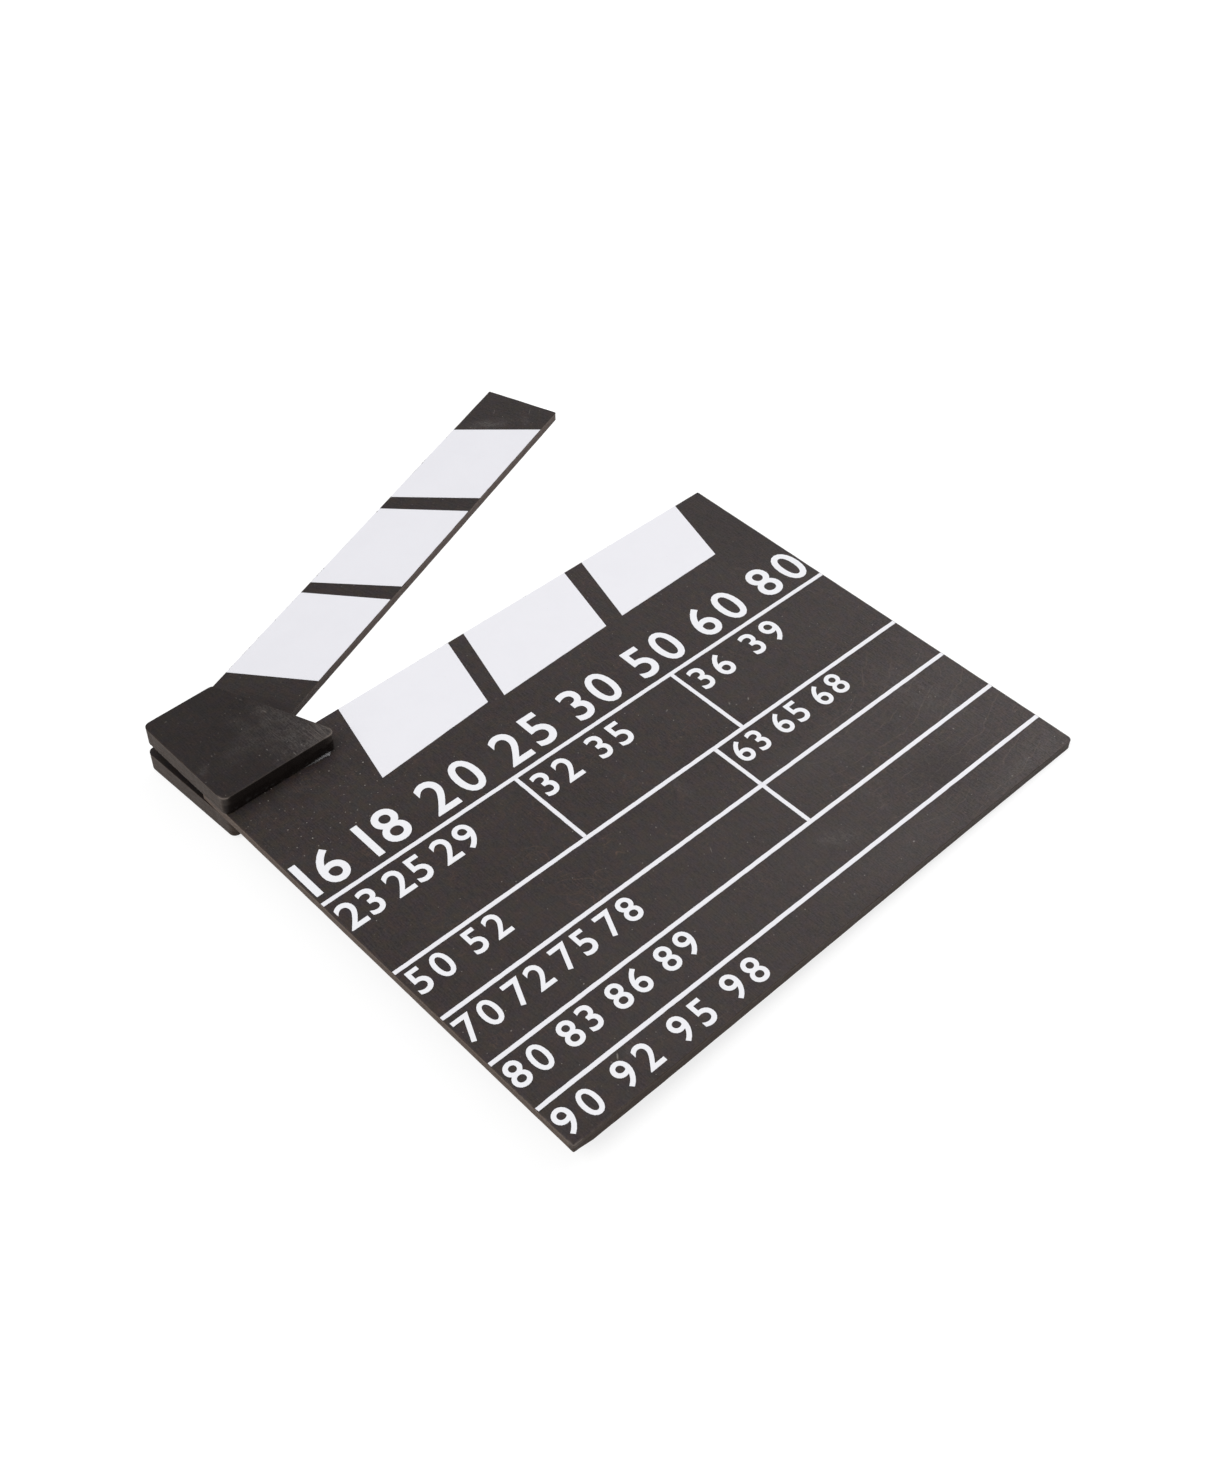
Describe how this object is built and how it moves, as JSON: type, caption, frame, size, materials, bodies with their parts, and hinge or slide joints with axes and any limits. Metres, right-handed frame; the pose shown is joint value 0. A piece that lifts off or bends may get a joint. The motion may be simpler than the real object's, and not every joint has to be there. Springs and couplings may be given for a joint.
{
  "type": "clapperboard",
  "caption": "Film clapperboard of black-stained plywood: a flat slate ruled with white film lines and a striped clap stick hinged between two wooden cheeks.",
  "frame": {"origin": "where the hinge dowel's axis meets the back face of the rear cheek", "axes": "+X along the slate's width to the right, +Y up the slate, +Z out of the front face along the hinge axis; the part lies on its back"},
  "size_m": [0.3022, 0.3721, 0.0239],
  "materials": {
    "stained_plywood": "matte black stain with a faint grain, rubbed tan along the edges",
    "white_film": "satin self-adhesive vinyl",
    "dowel_wood": "bare turned hardwood",
    "dried_glue": "dried clear wood glue, slightly milky"
  },
  "bodies": {
    "slate": {"board_stripe_1": "white_film", "board_stripe_2": "white_film", "board_stripe_3": "white_film", "front_cheek": "stained_plywood", "front_glue_film": "dried_glue", "glue_bead": "dried_glue", "left_divider": "white_film", "lower_divider_bottom": "white_film", "lower_divider_top": "white_film", "pivot_dowel": "dowel_wood", "rear_cheek": "stained_plywood", "rear_glue_film": "dried_glue", "right_divider": "white_film", "rule_1": "white_film", "rule_2": "white_film", "rule_3": "white_film", "rule_4": "white_film", "rule_5": "white_film", "slate_board": "stained_plywood"},
    "stick": {"clap_stick": "stained_plywood", "stick_stripe_1": "white_film", "stick_stripe_2": "white_film", "stick_stripe_3": "white_film"}
  },
  "joints": [
    {"name": "stick_hinge", "type": "hinge", "parent": "slate", "child": "stick", "pos_m": [0, 0, 0.01195], "axis": [0, 0, 1], "range_deg": [-20, 70]}
  ]
}
